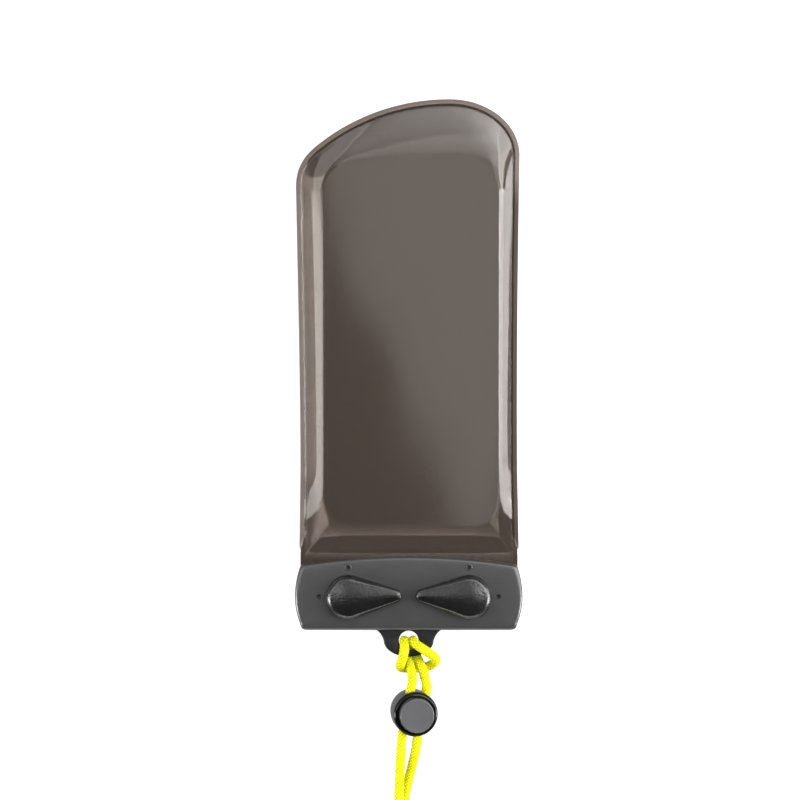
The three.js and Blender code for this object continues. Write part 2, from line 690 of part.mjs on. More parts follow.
const coilMiddle = (COIL_OUTER + COIL_INNER) / 2;
const [chamferIn, chamferUp] = COIL_CHAMFER;
const coil = turned(
  [
    [coilMiddle, 0],
    [COIL_OUTER - chamferIn, 0],
    [COIL_OUTER, chamferUp],
    [COIL_OUTER, COIL_HEIGHT - chamferUp],
    [COIL_OUTER - chamferIn, COIL_HEIGHT],
    [COIL_INNER + chamferIn, COIL_HEIGHT],
    [COIL_INNER, COIL_HEIGHT - chamferUp],
    [COIL_INNER, chamferUp],
    [COIL_INNER + chamferIn, 0],
    [coilMiddle, 0],
  ],
  LOCK_SIDES,
).translate(...COIL_AT, 0);
const knotReach = COIL_INNER - GAP - KNOT_RADIUS;
const knot = new THREE.SphereGeometry(1, 14, 10)
  .rotateX(Math.PI / 2)
  .scale(KNOT_RADIUS, KNOT_RADIUS, KNOT_HEIGHT / 2)
  .translate(
    COIL_AT[0] + knotReach * Math.cos(KNOT_ANGLE),
    COIL_AT[1] + knotReach * Math.sin(KNOT_ANGLE),
    KNOT_HEIGHT / 2,
  );
const hitch = solid(cord(hitchLeft, HITCH_STEPS[0])).add(solid(cord(hitchRight, HITCH_STEPS[1])));
group.add(
  piece("lanyard_hitch", hitch, cordYarn),
  piece("lanyard_left_strand", cord(leftStrand, STRAND_STEPS), cordYarn),
  piece("lanyard_right_strand", cord(rightStrand, STRAND_STEPS), cordYarn),
  piece("lanyard_coil", coil, cordYarn),
  piece("lanyard_knot", knot, cordYarn),
);

export default group;
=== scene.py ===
import bmesh
import bpy
import numpy as np
from mathutils import Matrix, Vector


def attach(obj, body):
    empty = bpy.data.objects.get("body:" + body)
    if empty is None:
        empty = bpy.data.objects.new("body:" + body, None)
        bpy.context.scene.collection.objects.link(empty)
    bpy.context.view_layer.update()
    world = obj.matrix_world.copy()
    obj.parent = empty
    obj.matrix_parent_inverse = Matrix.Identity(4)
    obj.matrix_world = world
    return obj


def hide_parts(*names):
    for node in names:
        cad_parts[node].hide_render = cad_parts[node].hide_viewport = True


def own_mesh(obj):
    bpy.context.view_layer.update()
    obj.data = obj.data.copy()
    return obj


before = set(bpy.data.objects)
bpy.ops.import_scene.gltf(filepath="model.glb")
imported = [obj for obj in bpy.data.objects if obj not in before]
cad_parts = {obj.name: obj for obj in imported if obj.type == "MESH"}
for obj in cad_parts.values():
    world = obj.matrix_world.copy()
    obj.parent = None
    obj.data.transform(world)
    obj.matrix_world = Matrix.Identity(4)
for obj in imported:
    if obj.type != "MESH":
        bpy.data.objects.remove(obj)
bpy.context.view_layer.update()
MM = 0.001

# Table and studio
# The pouch lies on a white table, seen from straight above through a long lens. Boxes of light
# stand beside it and beyond its foot, for the glints on the film and the clip, and others hang
# beyond its curved end. The edge of one of those shows as the slanting sheen on the window.
WHITE = "FFFFFF"
CAMERA_AT = (-3.9, -10.1, 1004)
LENS = 100
SENSOR = 36
TABLE_REACH = 4000
TABLE_LEVEL = -0.1


def srgb(code):
    """Linear colour with alpha of a six-figure hex code: each channel by the sRGB curve."""
    share = np.array([int(code[i : i + 2], 16) for i in (0, 2, 4)]) / 255
    low = share / 12.92
    high = ((share + 0.055) / 1.055) ** 2.4
    return (*np.where(share <= 0.04045, low, high), 1.0)


def node(tree, kind, settings=None, links=None):
    """Adds a node: settings go to its sockets, or else to its attributes; links come from sockets."""
    made = tree.nodes.new("ShaderNode" + kind)
    for name, value in (settings or {}).items():
        if isinstance(name, int) or name in made.inputs:
            made.inputs[name].default_value = value
        else:
            setattr(made, name, value)
    for name, source in (links or {}).items():
        tree.links.new(source, made.inputs[name])
    return made


def new_material(name):
    """An empty node material with its tree."""
    made = bpy.data.materials.new(name)
    made.use_nodes = True
    made.node_tree.nodes.clear()
    return made, made.node_tree


camera = bpy.data.objects.new("camera", bpy.data.cameras.new("camera"))
camera.location = Vector(CAMERA_AT) * MM
camera.data.lens = LENS
camera.data.sensor_width = SENSOR
bpy.context.collection.objects.link(camera)
bpy.context.scene.camera = camera
bpy.context.scene.view_settings.view_transform = "Standard"

# Table: matt white card. What it sends to the camera is topped up to white, so the shadow stays.
table_mesh = bpy.data.meshes.new("table")
far, level = TABLE_REACH * MM, TABLE_LEVEL * MM
table_mesh.from_pydata(
    [(-far, -far, level), (far, -far, level), (far, far, level), (-far, far, level)], [], [(0, 1, 2, 3)],
)
table = bpy.data.objects.new("table", table_mesh)
bpy.context.collection.objects.link(table)
card, tree = new_material("white_card")
lit = node(tree, "BsdfDiffuse", {"Color": srgb("AFAFAF")})
straight_on = node(tree, "LightPath").outputs["Is Camera Ray"]
glow = node(tree, "Emission", {"Color": srgb("DEDEDE")}, {"Strength": straight_on})
both = node(tree, "AddShader", links={0: lit.outputs[0], 1: glow.outputs[0]})
node(tree, "OutputMaterial", links={"Surface": both.outputs[0]})
table_mesh.materials.append(card)

# World: a pale room with a darker ceiling for mirrors, and an even soft fill for everything else.
world = bpy.data.worlds.new("studio")
bpy.context.scene.world = world
world.use_nodes = True
tree = world.node_tree
tree.nodes.clear()
height = node(tree, "SeparateXYZ", links={0: node(tree, "TexCoord").outputs["Generated"]})
ceiling = node(
    tree, "MapRange", {"From Min": 0.25, "From Max": 0.75, "To Min": 0.4, "To Max": 0.06},
    {"Value": height.outputs["Z"]},
)
path = node(tree, "LightPath")
mirrored = node(
    tree, "Math", {"operation": "MAXIMUM"},
    {0: path.outputs["Is Camera Ray"], 1: path.outputs["Is Glossy Ray"]},
)
seen = node(
    tree, "Math", {"operation": "MAXIMUM"},
    {0: mirrored.outputs[0], 1: path.outputs["Is Transmission Ray"]},
)
shown = node(tree, "Background", {"Color": srgb(WHITE)}, {"Strength": ceiling.outputs[0]})
fill = node(tree, "Background", {"Color": srgb(WHITE), "Strength": 0.25})
both = node(
    tree, "MixShader", links={0: seen.outputs[0], 1: fill.outputs[0], 2: shown.outputs[0]},
)
node(tree, "OutputWorld", links={"Surface": both.outputs[0]})


def soft_box(name, at, aim, turn, size, radiance, left=1.0, near=1.0):
    """A rectangular lamp that faces a point, turned about that line; its power is pi x area x radiance.
    Beside the table, size is its reach along Y and then its reach upwards. left and near are the shares
    of its light that it keeps at its left edge and at the one towards -Y; both count only when left is
    below 1."""
    lamp = bpy.data.lights.new(name, "AREA")
    lamp.shape = "RECTANGLE"
    lamp.size, lamp.size_y = size[0] * MM, size[1] * MM
    lamp.energy = np.pi * lamp.size * lamp.size_y * radiance
    if left < 1:
        lamp.use_nodes = True
        lamp.node_tree.nodes.clear()
        place = node(lamp.node_tree, "NewGeometry").outputs["Parametric"]
        across = node(lamp.node_tree, "SeparateXYZ", links={0: place})
        shares = [
            node(lamp.node_tree, "MapRange", {"To Min": least}, {"Value": across.outputs[axis]}).outputs[0]
            for axis, least in (("X", left), ("Y", near))
        ]
        dimmed = node(
            lamp.node_tree, "Math", {"operation": "MULTIPLY"}, {0: shares[0], 1: shares[1]},
        )
        light = node(lamp.node_tree, "Emission", links={"Strength": dimmed.outputs[0]})
        node(lamp.node_tree, "OutputLight", links={"Surface": light.outputs[0]})
    made = bpy.data.objects.new(name, lamp)
    made.location = Vector(at) * MM
    facing = (Vector(aim) - Vector(at)).to_track_quat("-Z", "Y").to_matrix().to_4x4()
    made.rotation_euler = (facing @ Matrix.Rotation(np.radians(turn), 4, "Z")).to_euler()
    bpy.context.collection.objects.link(made)


# The film's boxes end short of its lower corners, which stay dark; the clip has boxes of its own
soft_box("left_film_box", (-700, 42, 1150), (-40, 42, 9), 0, (310, 1140), 3.6)
soft_box("right_film_box", (760, 66, 900), (45, 66, 9), 0, (320, 1100), 6.8)
soft_box("right_low_box", (1500, 250, 330), (45, 250, 9), 0, (690, 640), 6)
soft_box("left_clip_box", (-1400, -395, 500), (-30, -395, 13), 0, (410, 900), 20)
soft_box("right_clip_box", (1400, -395, 500), (30, -395, 13), 0, (410, 900), 20)
soft_box("foot_box", (0, -1600, 450), (0, -110, 10), 0, (1800, 350), 4)
soft_box("sheen_box", (444, 480, 1509), (444, 480, 0), 23.4, (1200, 920), 0.85)
soft_box("crown_box", (150, 1050, 1500), (150, 1050, 0), 0, (1500, 1100), 9, 0.03, 0.1)
soft_box("shoulder_box", (1150, 620, 1200), (1150, 620, 0), 0, (900, 760), 5)
soft_box("far_left_box", (-950, 1160, 1300), (-950, 1160, 0), 0, (1100, 1870), 1.4)

# Pouch films
# Two sheets of soft film, 0.4 mm: the front one clear, the back one smoke brown. They are welded
# together along a band on three sides, which ends a little above the clip, and keep a raised bay
# with round corners. Both are glossy; the weld is duller, as pressed, with a crease inside it. The
# crease and the right side's band carry painted shade.
FILM = 0.4
WELD_WIDTH = 2.7
WELD_END = -76.9
WELD_SKIN = 0.55  # from the middle of the weld to its outer face
WELD_FACE = 0.01  # and to its inner face
# Rings across the weld, from its inner side: a crease, the band that leans out, its round edge
WELD_BAND = (0, 0.15, 0.3, 0.45, 0.6, 0.75, 0.9, 1.05, 1.4, 1.8, 2.3, 2.5, 2.6, 2.66, WELD_WIDTH)
WELD_LEAN = 0.105
CREASE_WIDTH = 0.9
CREASE_DEPTH = 0.3  # on the left side; elsewhere the crease is flat, with painted shade
EDGE_ROUND = 0.4
EDGE_FALL = 0.34
BAY_MIDDLE = np.array([1, 14.7])
BAY_HALF = np.array([39, 80.5])
BAY_CORNER = 12
BAY_FRONT = 9.0  # outer faces of the two sheets over the bay
BAY_BACK = 0.0
SIDE_SEAM = 4.5
CLIP_SEAM = 7.65
JAW_TOP = -80.0
SEAM_HIGH = -64  # below this the weld is at the clip's level
SEAM_LOW = -38  # and above this at the sides' level
SQUEEZE_FROM = -46  # below this the weld's inner side is drawn up, to stay clear of the clip
CLIP_CLEARANCE = 0.6
FILM_END = -91.6
FILM_CLIP_HALF = 49.25  # half width in the clip
FILM_NECK = 0.012  # share of its width that the sheet loses where the weld has ended
FILM_COLUMNS = 560
POLE = 0.002  # size of the smallest ring, as a share of the bay
LEFT_SIDE = (-47, -36)  # x between which the left side's deep crease turns flat, with painted shade
RIGHT_SIDE = (38, 43)  # and between which the right side's band of painted shade begins
SHOULDER = (75, 95)  # y between which that band fades out
# Long low waves of the sheets: share of x and of y, length, phase and height
WAVES = ((0.6, 0.8, 61, 0.7, 1), (0.9, -0.4, 43, 2.1, 1), (0.2, 1, 97, 4, 0.6))


def bezier(a, b, c, d, count=200):
    """Points of the cubic a(1-t)^3 + 3bt(1-t)^2 + 3ct^2(1-t) + dt^3, without its last one."""
    t = np.linspace(0, 1, count, endpoint=False)[:, None]
    return (
        (1 - t) ** 3 * np.array(a) + 3 * t * (1 - t) ** 2 * np.array(b)
        + 3 * t**2 * (1 - t) * np.array(c) + t**3 * np.array(d)
    )


def straight(a, b, count=200):
    """Points of the line from a to b, without its last one."""
    t = np.linspace(0, 1, count, endpoint=False)[:, None]
    return (1 - t) * np.array(a) + t * np.array(b)


def evenly(outline, count):
    """A closed outline's points moved along it to equal spacing."""
    closed = np.vstack([outline, outline[:1]])
    run = np.concatenate([[0], np.cumsum(np.linalg.norm(np.diff(closed, axis=0), axis=1))])
    even = np.linspace(0, run[-1], count, endpoint=False)
    return np.column_stack([np.interp(even, run, closed[:, axis]) for axis in range(2)])


def inward(outline):
    """Unit vectors into a closed outline that runs anticlockwise: its chords turned by 90 degrees."""
    chord = np.roll(outline, -1, axis=0) - np.roll(outline, 1, axis=0)
    turned = np.column_stack([-chord[:, 1], chord[:, 0]])
    return turned / np.linalg.norm(turned, axis=1, keepdims=True)


def smoothstep(x, start, end):
    """0 before start, 1 after end, and 3s^2 - 2s^3 between."""
    share = np.clip((x - start) / (end - start), 0, 1)
    return share**2 * (3 - 2 * share)


def film_edge():
    """The sheets' edge, anticlockwise: straight in the clip, nearly straight sides, a tight corner at
    the left, a long rise to the crown and a quarter ellipse down to the right side."""
    angle = np.linspace(np.pi / 2, 0, 200, endpoint=False)
    shoulder = np.column_stack([18.5 + 31.4 * np.cos(angle), 100 + 25.2 * np.sin(angle)])
    clockwise = np.vstack([
        straight((-49.1, FILM_END), (-49.1, JAW_TOP)),
        bezier((-49.1, JAW_TOP), (-47.9, -30.2), (-49.5, 22.9), (-50.7, 86)),
        bezier((-50.7, 86), (-50.7, 94.4), (-46.93, 99.8), (-41.5, 104.2)),
        bezier((-41.5, 104.2), (-27.5, 115.5), (-7.3, 125.2), (18.5, 125.2)),
        shoulder,
        bezier((49.9, 100), (48.7, 36.2), (48.2, -30.2), (49.4, JAW_TOP)),
        straight((49.4, JAW_TOP), (49.4, FILM_END)),
        straight((49.4, FILM_END), (-49.1, FILM_END)),
    ])
    return evenly(clockwise[::-1], FILM_COLUMNS)


def grid_mesh(name, rows, loops=None, marks=None):
    """Mesh of a grid of points (row, column, 3) in mm whose columns close round and whose end rows
    are closed with a face each. loops gives the pattern's two coordinates at (row, column + 1), and
    marks gives named values at each point."""
    count, sides = rows.shape[:2]
    i, j = np.meshgrid(np.arange(count - 1), np.arange(sides), indexing="ij")
    after = (j + 1) % sides
    quads = np.stack([i * sides + j, i * sides + after, (i + 1) * sides + after, (i + 1) * sides + j], -1)
    ends = np.concatenate([np.arange(sides)[::-1], (count - 1) * sides + np.arange(sides)])
    corners = np.concatenate([quads.ravel(), ends])
    starts = np.concatenate([np.arange(i.size) * 4, 4 * i.size + sides * np.arange(2)])
    mesh = bpy.data.meshes.new(name)
    mesh.vertices.add(count * sides)
    mesh.vertices.foreach_set("co", (rows * MM).ravel())
    mesh.loops.add(len(corners))
    mesh.loops.foreach_set("vertex_index", corners)
    mesh.polygons.add(len(starts))
    mesh.polygons.foreach_set("loop_start", starts)
    mesh.update(calc_edges=True)
    if loops is not None:
        place = np.stack([loops[i, j], loops[i, j + 1], loops[i + 1, j + 1], loops[i + 1, j]], 2)
        place = np.concatenate([place.ravel(), np.zeros(4 * sides)])
        mesh.uv_layers.new(name="pattern").data.foreach_set("uv", place)
    for mark, values in (marks or {}).items():
        layer = mesh.attributes.new(mark, "FLOAT", "POINT")
        layer.data.foreach_set("value", np.broadcast_to(values, (count, sides)).astype("f").ravel())
    faces_out(mesh)
    made = bpy.data.objects.new(name, mesh)
    bpy.context.collection.objects.link(made)
    return made


def faces_out(mesh):
    """Turns a closed mesh's faces to point outwards, and shades them smooth."""
    net = bmesh.new()
    net.from_mesh(mesh)
    bmesh.ops.recalc_face_normals(net, faces=net.faces)
    net.to_mesh(mesh)
    net.free()
    mesh.shade_smooth()


def seam(y):
    """Height of the weld's middle: the sides' level, up to the clip's level on the way to the clip."""
    rise = 1 - smoothstep(y, SEAM_HIGH, SEAM_LOW)
    return SIDE_SEAM + (CLIP_SEAM - SIDE_SEAM) * rise


def film_lines():
    """Three closed lines with matching points: the sheets' edge, the weld's inner side and the bay's
    edge. The last value is 1 at the points that have a weld and 0 at those in the clip."""
    edge = film_edge()
    weld = edge + WELD_WIDTH * inward(edge)
    in_clip = edge[:, 1] < JAW_TOP
    mouth = np.array([0, JAW_TOP])
    shrink = 1 - WELD_WIDTH / np.array([FILM_CLIP_HALF, JAW_TOP - FILM_END])
    weld[in_clip] = mouth + (edge[in_clip] - mouth) * shrink
    squeeze = (SQUEEZE_FROM - JAW_TOP - CLIP_CLEARANCE) / (SQUEEZE_FROM - FILM_END - WELD_WIDTH)
    y = weld[:, 1]
    weld[:, 1] = np.where(y < SQUEEZE_FROM, SQUEEZE_FROM - (SQUEEZE_FROM - y) * squeeze, y)
    core = np.clip(weld - BAY_MIDDLE, BAY_CORNER - BAY_HALF, BAY_HALF - BAY_CORNER) + BAY_MIDDLE
    away = weld - core
    bay = core + BAY_CORNER * away / np.linalg.norm(away, axis=1, keepdims=True)
    has_weld = smoothstep(edge[:, 1], WELD_END - 0.3, WELD_END + 0.3)
    edge[:, 0] *= 1 - FILM_NECK * (1 - has_weld)
    return edge, weld, bay, has_weld


def film_ring(place, height, welded=0, painted_shade=0):
    """One ring of a sheet's grid: x, y and z of its points, their weld mark and their painted shade."""
    others = [np.broadcast_to(value, len(place)) for value in (height, welded, painted_shade)]
    return np.column_stack([place, *others])


def film(name, side):
    """One sheet, as rings of points from the bay's middle out over its outer face and back over the
    inner one. The height is flat over the bay, and from there falls to the weld as a sine. side is 1
    for the front sheet and -1 for the back one."""
    edge, weld, bay, has_weld = film_lines()
    band = np.array(WELD_BAND)
    crease_shade = 0.5 + 0.5 * np.cos(np.pi * np.clip((band - 0.15) / 0.6, 0, 1))
    from_edge = np.clip(band - WELD_WIDTH + EDGE_ROUND, 0, EDGE_ROUND) / EDGE_ROUND
    fall = EDGE_FALL * (1 - np.sqrt(np.clip(1 - from_edge**2, 0, 1)))
    fall += WELD_LEAN * np.clip(band - CREASE_WIDTH, 0, 2)
    profile = np.column_stack([band, crease_shade, fall])
    rings = []
    for is_outer, bay_rings, slope_rings, step in ((True, 16, 34, 1), (False, 8, 18, 3)):
        flat = (BAY_FRONT if side > 0 else BAY_BACK) - (0 if is_outer else side * FILM)
        skin = side * (WELD_SKIN if is_outer else WELD_FACE)
        low = seam(weld[:, 1]) + skin
        face = []
        for share in np.linspace(POLE, 1, bay_rings):
            face.append(film_ring(BAY_MIDDLE + share * (bay - BAY_MIDDLE), flat))
        for share in np.linspace(1, 0, slope_rings)[1:-1]:
            height = low + (flat - low) * np.sin(np.pi / 2 * share)
            face.append(film_ring(weld + share * (bay - weld), height))
        for across, dark, drop in profile[step - 1 :: step]:
            at = weld + (edge - weld) * across / WELD_WIDTH
            on_left = 1 - smoothstep(at[:, 0], *LEFT_SIDE)
            lift = -side * has_weld * (drop + CREASE_DEPTH * dark * on_left) if is_outer else 0
            # Painted shade: dark in the crease, faint where the left side's crease is deep, and over the
            # whole right side's band, fading out towards the shoulder
            right_band_shade = 0.8 * smoothstep(at[:, 0], *RIGHT_SIDE) * (1 - smoothstep(at[:, 1], *SHOULDER))
            painted_shade = has_weld * np.maximum(dark * (1 - 0.8 * on_left), right_band_shade)
            welded = has_weld * (across > CREASE_WIDTH)
            face.append(film_ring(at, seam(at[:, 1]) + skin + lift, welded, painted_shade))
        rings += face if is_outer else face[::-1]
    grid = np.array(rings)
    x, y, z = np.moveaxis(grid[..., :3], -1, 0)
    waves = sum(
        size * np.sin(2 * np.pi * (x * along_x + y * along_y) / length + phase)
        for along_x, along_y, length, phase, size in WAVES
    )
    calm = smoothstep(abs(z - seam(y)), 0.8, 2.5) * smoothstep(y, JAW_TOP, JAW_TOP + 30)
    grid[..., 2] += calm * (0.018 * waves if side > 0 else 0.02 * (1 + waves / 3))
    return grid_mesh(name, grid[..., :3], marks={"weld": grid[..., 3], "painted_crease_shade": grid[..., 4]})


def film_material(name, clear_tint, body_colour, body_share, weld_colour, weld_share):
    """Soft film: a clear share that only tints, a coloured body, and over both a mirror skin, whose
    share is 0.04 square on and 1 along it. The weld is more body than clear. Painted shade, a dark
    matt coat, covers the weld's crease and the right side's band."""
    made, tree = new_material(name)
    weld = node(tree, "Attribute", {"attribute_name": "weld"}).outputs["Fac"]
    crease_shade = node(tree, "Attribute", {"attribute_name": "painted_crease_shade"}).outputs["Fac"]
    colour = node(
        tree, "Mix", {"data_type": "RGBA", 6: srgb(body_colour), 7: srgb(weld_colour)}, {0: weld},
    )
    share = node(tree, "MapRange", {"To Min": body_share, "To Max": weld_share}, {"Value": weld})
    clear = node(tree, "BsdfTransparent", {"Color": srgb(clear_tint)})
    body = node(tree, "BsdfDiffuse", links={"Color": colour.outputs[2]})
    inside = node(
        tree, "MixShader", links={0: share.outputs[0], 1: clear.outputs[0], 2: body.outputs[0]},
    )
    facing = node(tree, "LayerWeight", {"Blend": 0.5})
    fifth = node(tree, "Math", {"operation": "POWER", 1: 5.0}, {0: facing.outputs["Facing"]})
    mirror = node(
        tree, "Math", {"operation": "MULTIPLY_ADD", 1: 0.96, 2: 0.04}, {0: fifth.outputs[0]},
    )
    rough = node(tree, "MapRange", {"To Min": 0.09, "To Max": 0.3}, {"Value": weld})
    skin = node(tree, "BsdfGlossy", {"Color": srgb(WHITE)}, {"Roughness": rough.outputs[0]})
    sheet = node(
        tree, "MixShader", links={0: mirror.outputs[0], 1: inside.outputs[0], 2: skin.outputs[0]},
    )
    # Painted shade: a dark brown matt coat over the crease and the right side's band
    shade_coat = node(tree, "BsdfDiffuse", {"Color": srgb("2A1D15")})
    painted_shade = node(tree, "Math", {"operation": "MULTIPLY", 1: 0.85}, {0: crease_shade})
    whole = node(
        tree, "MixShader", links={0: painted_shade.outputs[0], 1: sheet.outputs[0], 2: shade_coat.outputs[0]},
    )
    node(tree, "OutputMaterial", links={"Surface": whole.outputs[0]})
    return made


def place_piece(piece, material, body, slot, *replaced):
    """Gives a new piece its material and body, and hides the solids it stands for. slot is not used."""
    piece.data.materials.clear()
    piece.data.materials.append(material)
    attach(piece, body)
    if replaced:
        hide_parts(*replaced)


smoke_film = film_material("smoke_soft_film", "9A8C84", "302823", 0.88, "51453D", 0.95)
clear_film = film_material("clear_soft_film", "F6F1ED", "D8CEC6", 0.015, "5A4D45", 0.85)
place_piece(film("back_film_sheet", -1), smoke_film, "pouch", "smoke_film", "back_film")
place_piece(film("front_film_sheet", 1), clear_film, "pouch", "clear_film", "front_film")

# Back jaw of the clip
# Moulded nylon, nearly matt, in a grey painted darker than the front jaw's: painted shade over the
# whole moulding, for its tab that lies low below the front jaw. One moulding with the lanyard tab
# below it, a rib that clamps the films, two guide pegs, and a pocket with ramps under each lever for
# its cam pin.
JAW_HALF = 50.85
JAW_HEIGHT = 32.8
JAW_BOTTOM = JAW_TOP - JAW_HEIGHT
JAW_CROWN = 3.9
JAW_END_TUCK = 2.5
JAW_CORNER = 2.5
JAW_COLUMNS = 560
PIVOT_X = 26.95
PIVOT_Y = -97.8
POST_HOLE = 3.3
PEG_AT = (42, -105.2)
PEG_RADIUS = 2
PEG_TOP = 11.3
RIB_AT = (0, -88.5)
RIB_SIZE = (92.3, 2.4)
BACK_TOP = 6.4  # level of its face under the films
LAND_TOP = 8.6  # and of its face beyond their ends
LAND_MIDDLE = (0, -102.65)
LAND_HALF = (JAW_HALF, 10.15)
PIN_ARM = 5.75  # reach of the room for each arm of a cam pin
PIN_ROOM = 2.8  # width of the slot that the pin goes in by
POCKET_RADIUS = 5.9
POCKET_TOP = 3.4
RAMP_TOP = 5.0  # level of the ramps at the open position
RAMP_FALL = 1.5  # from there to the closed position
TAB_HOLE_AT = (0, -117.9)
TAB_HALF = 11.2
TAB_DROP = 7.3
TAB_ROOT = 16.4
TAB_LEVELS = (6, 8.4)
BELOW = -1  # level of a cutter's end below the clip


def quadratic(a, b, c, count=200):
    """Points of the curve a(1-t)^2 + 2bt(1-t) + ct^2, without its last one."""
    t = np.linspace(0, 1, count, endpoint=False)[:, None]
    return (1 - t) ** 2 * np.array(a) + 2 * t * (1 - t) * np.array(b) + t**2 * np.array(c)


def softened(outline, reach):
    """A closed outline with its corners rounded: each point is the mean of its neighbours."""
    shifts = [np.roll(outline, shift, axis=0) for shift in range(-reach, reach + 1)]
    return np.mean(shifts, axis=0)


def jaw_edge():
    """Both jaws in plan, anticlockwise: an arched upper edge, bowed ends and round lower corners."""
    end, bow = JAW_HALF - JAW_END_TUCK, JAW_HALF + JAW_END_TUCK
    corner_top, shoulder = JAW_BOTTOM + JAW_CORNER, JAW_TOP - JAW_CROWN
    bend = JAW_TOP - 0.56 * JAW_HEIGHT
    half = np.vstack([
        straight((0, JAW_BOTTOM), (end - JAW_CORNER, JAW_BOTTOM)),
        quadratic((end - JAW_CORNER, JAW_BOTTOM), (end, JAW_BOTTOM), (end, corner_top)),
        quadratic((end, corner_top), (bow, bend), (end, shoulder)),
    ])
    arch = quadratic((end, shoulder), (0, JAW_TOP + JAW_CROWN), (-end, shoulder), 400)
    mirrored = half[::-1] * (-1, 1)
    return softened(evenly(np.vstack([half, arch, mirrored]), JAW_COLUMNS), 2)


def rounded(corners, radii, steps=7):
    """A line through corners, each cut off at its radius and bridged by a quadratic curve."""
    corners = np.asarray(corners, float)
    here, radii = corners[1:-1], np.asarray(radii, float)[:, None]
    before, after = corners[:-2] - here, corners[2:] - here
    first = here + before / np.linalg.norm(before, axis=1, keepdims=True) * radii
    last = here + after / np.linalg.norm(after, axis=1, keepdims=True) * radii
    t = np.linspace(0, 1, steps)[None, :, None]
    bridge = (1 - t) ** 2 * first[:, None] + 2 * t * (1 - t) * here[:, None] + t**2 * last[:, None]
    return np.vstack([corners[:1], bridge.reshape(-1, 2), corners[-1:]])


def slab(name, outline, profile, middle, half):
    """A raised plan: for each (inset, height) of the profile, the outline is shrunk towards the
    middle, so that it loses the inset of its half size each way."""
    inset, height = np.asarray(profile, float).T
    shrink = 1 - inset[:, None] / np.array(half)
    plan = np.array(middle) + (outline - np.array(middle)) * shrink[:, None]
    return grid_mesh(name, np.dstack([plan, np.broadcast_to(height[:, None], plan.shape[:2])]))


def turned(name, profile, sides=96, at=(0, 0)):
    """A profile of (radius, height) pairs turned about a vertical axis."""
    angle = 2 * np.pi * np.arange(sides) / sides
    radius, height = np.asarray(profile, float).T
    x = at[0] + radius[:, None] * np.cos(angle)
    y = at[1] + radius[:, None] * np.sin(angle)
    return grid_mesh(name, np.dstack([x, y, np.broadcast_to(height[:, None], x.shape)]))


def cylinder(at, radius, bottom, top):
    """A plain round cutter or peg."""
    return turned("round", [(radius, bottom), (radius, top)], 48, at)


def block(at, size, bottom, top):
    """A plain four-sided cutter or rib."""
    half = np.array(size) / 2
    corners = np.array(at) + half * np.array([(-1, -1), (1, -1), (1, 1), (-1, 1)])
    rows = [np.column_stack([corners, np.full(4, height)]) for height in (bottom, top)]
    return grid_mesh("block", np.array(rows, float))


def combine(piece, operation, *others):
    """Joins or cuts a piece with others, which are used up, and marks its sharp edges."""
    for other in others:
        step = piece.modifiers.new("step", "BOOLEAN")
        step.object, step.operation, step.solver = other, operation, "EXACT"
        graph = bpy.context.evaluated_depsgraph_get()
        made = bpy.data.meshes.new_from_object(piece.evaluated_get(graph))
        piece.modifiers.clear()
        piece.data = made
        bpy.data.objects.remove(other)
    piece.data.shade_smooth()
    piece.data.set_sharp_from_angle(angle=np.radians(32))


def ramp(side, end):
    """Room over one arm of the cam pin: a quarter turn whose ceiling rises to the open position."""
    sweep = np.linspace(0, np.pi / 2, 19)
    angle = end - side * sweep
    top = RAMP_TOP - RAMP_FALL * sweep / (np.pi / 2)
    x, y = side * PIVOT_X + PIN_ARM * np.cos(angle), PIVOT_Y + PIN_ARM * np.sin(angle)
    middle_x, middle_y = np.full_like(x, side * PIVOT_X), np.full_like(y, PIVOT_Y)
    low = np.full_like(x, BELOW)
    corners = [(middle_x, middle_y, low), (x, y, low), (x, y, top), (middle_x, middle_y, top)]
    return grid_mesh("ramp", np.stack([np.stack(corner, -1) for corner in corners], 1))


def tab_edge():
    """The tab in plan: a root that flares into the jaw, and half an ellipse round the hole."""
    angle = np.linspace(np.pi, 2 * np.pi, 300)
    y = TAB_HOLE_AT[1]
    bend, root, top = TAB_HALF + 1.73, y + 5.1, y + 9.1
    outline = np.vstack([
        quadratic((-TAB_ROOT, root), (-bend, root), (-TAB_HALF, y)),
        np.column_stack([TAB_HALF * np.cos(angle), y + TAB_DROP * np.sin(angle)]),
        quadratic((TAB_HALF, y), (bend, root), (TAB_ROOT, root)),
        straight((TAB_ROOT, root), (TAB_ROOT, top)),
        straight((TAB_ROOT, top), (-TAB_ROOT, top)),
        straight((-TAB_ROOT, top), (-TAB_ROOT, root)),
    ])
    return softened(evenly(outline, 400), 1)


JAW_MIDDLE = np.array([0, (JAW_TOP + JAW_BOTTOM) / 2])
JAW_SIZE = np.array([2 * JAW_HALF, JAW_HEIGHT])
jaw_outline = jaw_edge()
back_jaw = slab(
    "back_jaw_moulding", jaw_outline,
    rounded([(20, 0), (0, 0), (0, BACK_TOP), (20, BACK_TOP)], [0.8, 0.8])[1:-1],
    JAW_MIDDLE, JAW_SIZE / 2,
)
land_top_edge = np.minimum(jaw_outline[:, 1], FILM_END - 0.9)
land = slab(
    "land", evenly(np.column_stack([jaw_outline[:, 0], land_top_edge]), 400),
    rounded([(9, 0.8), (0, 0.8), (0, LAND_TOP), (9, LAND_TOP)], [0.6, 0.6])[1:-1],
    LAND_MIDDLE, LAND_HALF,
)
tab_bottom, tab_top = TAB_LEVELS
tab = slab(
    "tab", tab_edge(),
    rounded([(9, tab_bottom), (0, tab_bottom), (0, tab_top), (9, tab_top)], [0.7, 0.7])[1:-1],
    (0, -108.8), (TAB_HALF, 16.4),
)
hole_lip = [(5.4, tab_bottom - 0.1), (4.4, tab_bottom), (4.4, tab_top), (5.4, tab_top + 0.1)]
